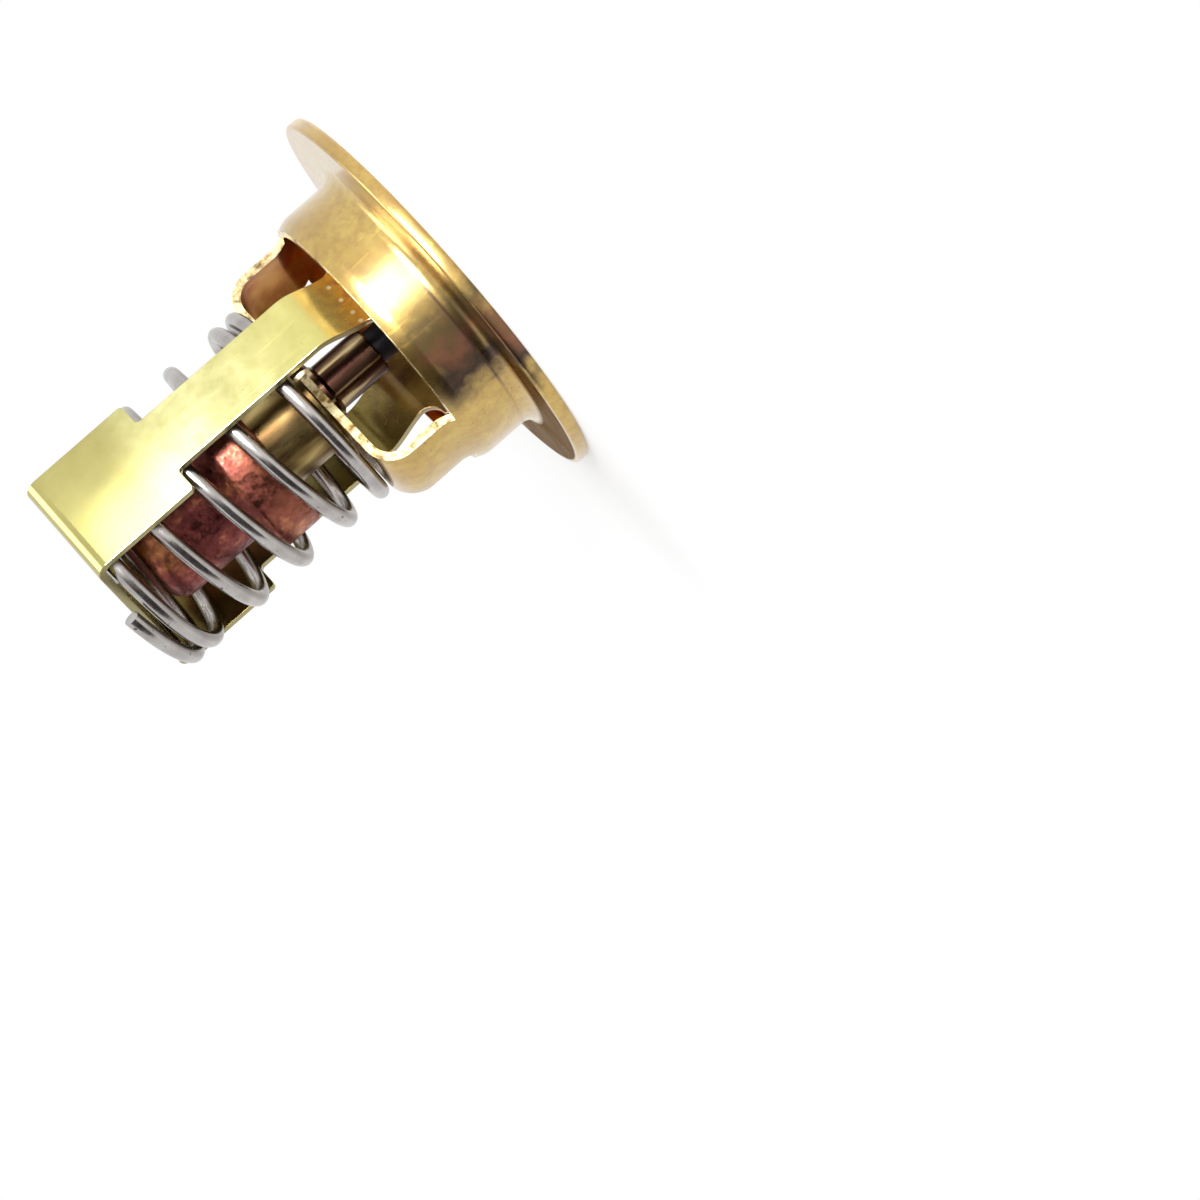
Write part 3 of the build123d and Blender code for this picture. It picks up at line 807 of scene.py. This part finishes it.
# ---------------------------------------------------------------------------------------
# Studio. A pale floor under the flange, a white surround, soft lamps, and the camera.
bpy.ops.object.select_all(action="DESELECT")
bpy.ops.mesh.primitive_circle_add(vertices=96, radius=1.2, location=(0, 0, -0.01 * MM),
                                  fill_type="NGON")
floor = bpy.context.object
floor.name = "floor"
skin, tree, shader, where = new_skin("white_floor")
away = place_parts(tree, where)[3]
tone = ramp(tree, noise(tree, where, 8), [(0.2, (0.93, 0.93, 0.93)), (0.8, (0.96, 0.96, 0.96))])
tree.links.new(tone, shader.inputs["Base Color"])
shader.inputs["Roughness"].default_value = 0.9


def seen_directly(tree):
    """1 for rays from the camera, in a reflection or through glass, and 0 for the rest."""
    rays = tree.nodes.new("ShaderNodeLightPath").outputs
    return calc(tree, "MAXIMUM", rays["Is Camera Ray"],
                calc(tree, "MAXIMUM", rays["Is Glossy Ray"], rays["Is Transmission Ray"]))


# the floor melts into the white surround away from the part
fade_start, fade_end = 28 * MM, 75 * MM
faded = times(tree, seen_directly(tree), map_range(tree, away, fade_start, fade_end, 0.45, 1.0))
backdrop = tree.nodes.new("ShaderNodeEmission")
backdrop.inputs["Color"].default_value = (1, 1, 1, 1)
backdrop.inputs["Strength"].default_value = 1.0
fade = tree.nodes.new("ShaderNodeMixShader")
tree.links.new(faded, fade.inputs[0])
tree.links.new(shader.outputs[0], fade.inputs[1])
tree.links.new(backdrop.outputs[0], fade.inputs[2])
tree.links.new(fade.outputs[0], tree.nodes["Material Output"].inputs["Surface"])
floor.data.materials.append(skin)

world = bpy.data.worlds.new("surround")
bpy.context.scene.world = world
world.use_nodes = True
tree = world.node_tree
tree.nodes.clear()
white = tree.nodes.new("ShaderNodeBackground")
white.inputs["Color"].default_value = (1, 1, 1, 1)
white.inputs["Strength"].default_value = 1.0
ambient = tree.nodes.new("ShaderNodeBackground")
ambient.inputs["Color"].default_value = (1, 1, 1, 1)
ambient.inputs["Strength"].default_value = 0.85
choose = tree.nodes.new("ShaderNodeMixShader")
tree.links.new(seen_directly(tree), choose.inputs[0])
tree.links.new(ambient.outputs[0], choose.inputs[1])
tree.links.new(white.outputs[0], choose.inputs[2])
out = tree.nodes.new("ShaderNodeOutputWorld")
tree.links.new(choose.outputs[0], out.inputs["Surface"])


def add_softbox(name, azimuth, elevation, distance, width, height, power, aim=(0, 0, 15 * MM)):
    """A soft lamp round the object, aimed at its middle unless another point is given."""
    a, e = math.radians(azimuth), math.radians(elevation)
    away = Vector((math.sin(a) * math.cos(e), -math.cos(a) * math.cos(e), math.sin(e)))
    lamp_data = bpy.data.lights.new(name, "AREA")
    lamp_data.shape = "RECTANGLE"
    lamp_data.size = width
    lamp_data.size_y = height
    lamp_data.energy = power
    lamp = bpy.data.objects.new(name, lamp_data)
    bpy.context.collection.objects.link(lamp)
    lamp.location = Vector(aim) + away * distance
    lamp.rotation_mode = "QUATERNION"
    lamp.rotation_quaternion = away.to_track_quat("Z", "Y")
    return lamp


add_softbox("key", -4, 9, 0.35, 0.16, 0.16, 1.1)
add_softbox("top", 60, 55, 0.4, 0.2, 0.2, 0.4)
# a narrow strip close by draws the bright patch down the metal and adds no other light
strip = add_softbox("strip", -5, 6, 0.08, 0.038, 0.044, 0.1)
strip.visible_diffuse = False
strip.visible_camera = False
# a smaller one draws the sheen on the stirrup's foot, its beam too narrow to reach the rest
sheen_spot = (-4 * MM, -9.6 * MM, 29 * MM)
sheen = add_softbox("sheen", 29.7, -3, 0.045, 0.005, 0.011, 0.000022, aim=sheen_spot)
sheen.data.spread = math.radians(20)
sheen.visible_diffuse = False
sheen.visible_camera = False

# a dark card stands to the camera's left, seen only in the metal
bpy.ops.object.select_all(action="DESELECT")
bpy.ops.mesh.primitive_plane_add(size=1)
card = bpy.context.object
card.name = "dark_card"
card_width, card_height = 75 * MM, 110 * MM
card_bearing, card_distance, card_z = math.radians(-68), 70 * MM, 54 * MM
card.scale = (card_width, card_height, 1)
card.rotation_euler = (math.radians(90), 0, card_bearing)
card.location = (card_distance * math.sin(card_bearing), -card_distance * math.cos(card_bearing),
                 card_z)
bpy.ops.object.transform_apply(location=True, rotation=True, scale=True)
skin, tree, shader, where = new_skin("dark_card")
tone = ramp(tree, noise(tree, where, 20), [(0.3, (0.02, 0.015, 0.015)), (0.7, (0.05, 0.04, 0.04))])
tree.links.new(tone, shader.inputs["Base Color"])
shader.inputs["Roughness"].default_value = 0.9
card.data.materials.append(skin)
card.visible_camera = False
card.visible_diffuse = False
card.visible_shadow = False

# the camera looks at the part lying over, so the frame is rolled about the line of sight
frame_pixels = 1200
focal_pixels = 3342.7
view_azimuth, view_elevation, view_roll = -29.7, 2.97, 131.3
view_distance = 250 * MM
aim_point = Vector((0, 0, 15 * MM))
aim_pixel = (291.5, 420.0)
a, e = math.radians(view_azimuth), math.radians(view_elevation)
back = Vector((math.sin(a) * math.cos(e), -math.cos(a) * math.cos(e), math.sin(e)))
right = Vector((math.cos(a), math.sin(a), 0))
up = back.cross(right)
upright = Matrix((right, up, back)).transposed()
rolled = upright @ Matrix.Rotation(math.radians(-view_roll), 3, "Z")
middle = frame_pixels / 2
wanted = Vector((aim_pixel[0] - middle, middle - aim_pixel[1], -focal_pixels)).normalized()
swing = wanted.rotation_difference(Vector((0, 0, -1))).to_matrix()
camera_data = bpy.data.cameras.new("camera")
camera_data.sensor_width = 36
camera_data.lens = focal_pixels * camera_data.sensor_width / frame_pixels
camera_data.clip_start = 0.01
camera = bpy.data.objects.new("camera", camera_data)
bpy.context.collection.objects.link(camera)
turned = (rolled @ swing).to_4x4()
camera.matrix_world = Matrix.Translation(aim_point + back * view_distance) @ turned
bpy.context.scene.camera = camera
bpy.context.scene.view_settings.view_transform = "Standard"

bpy.context.view_layer.update()
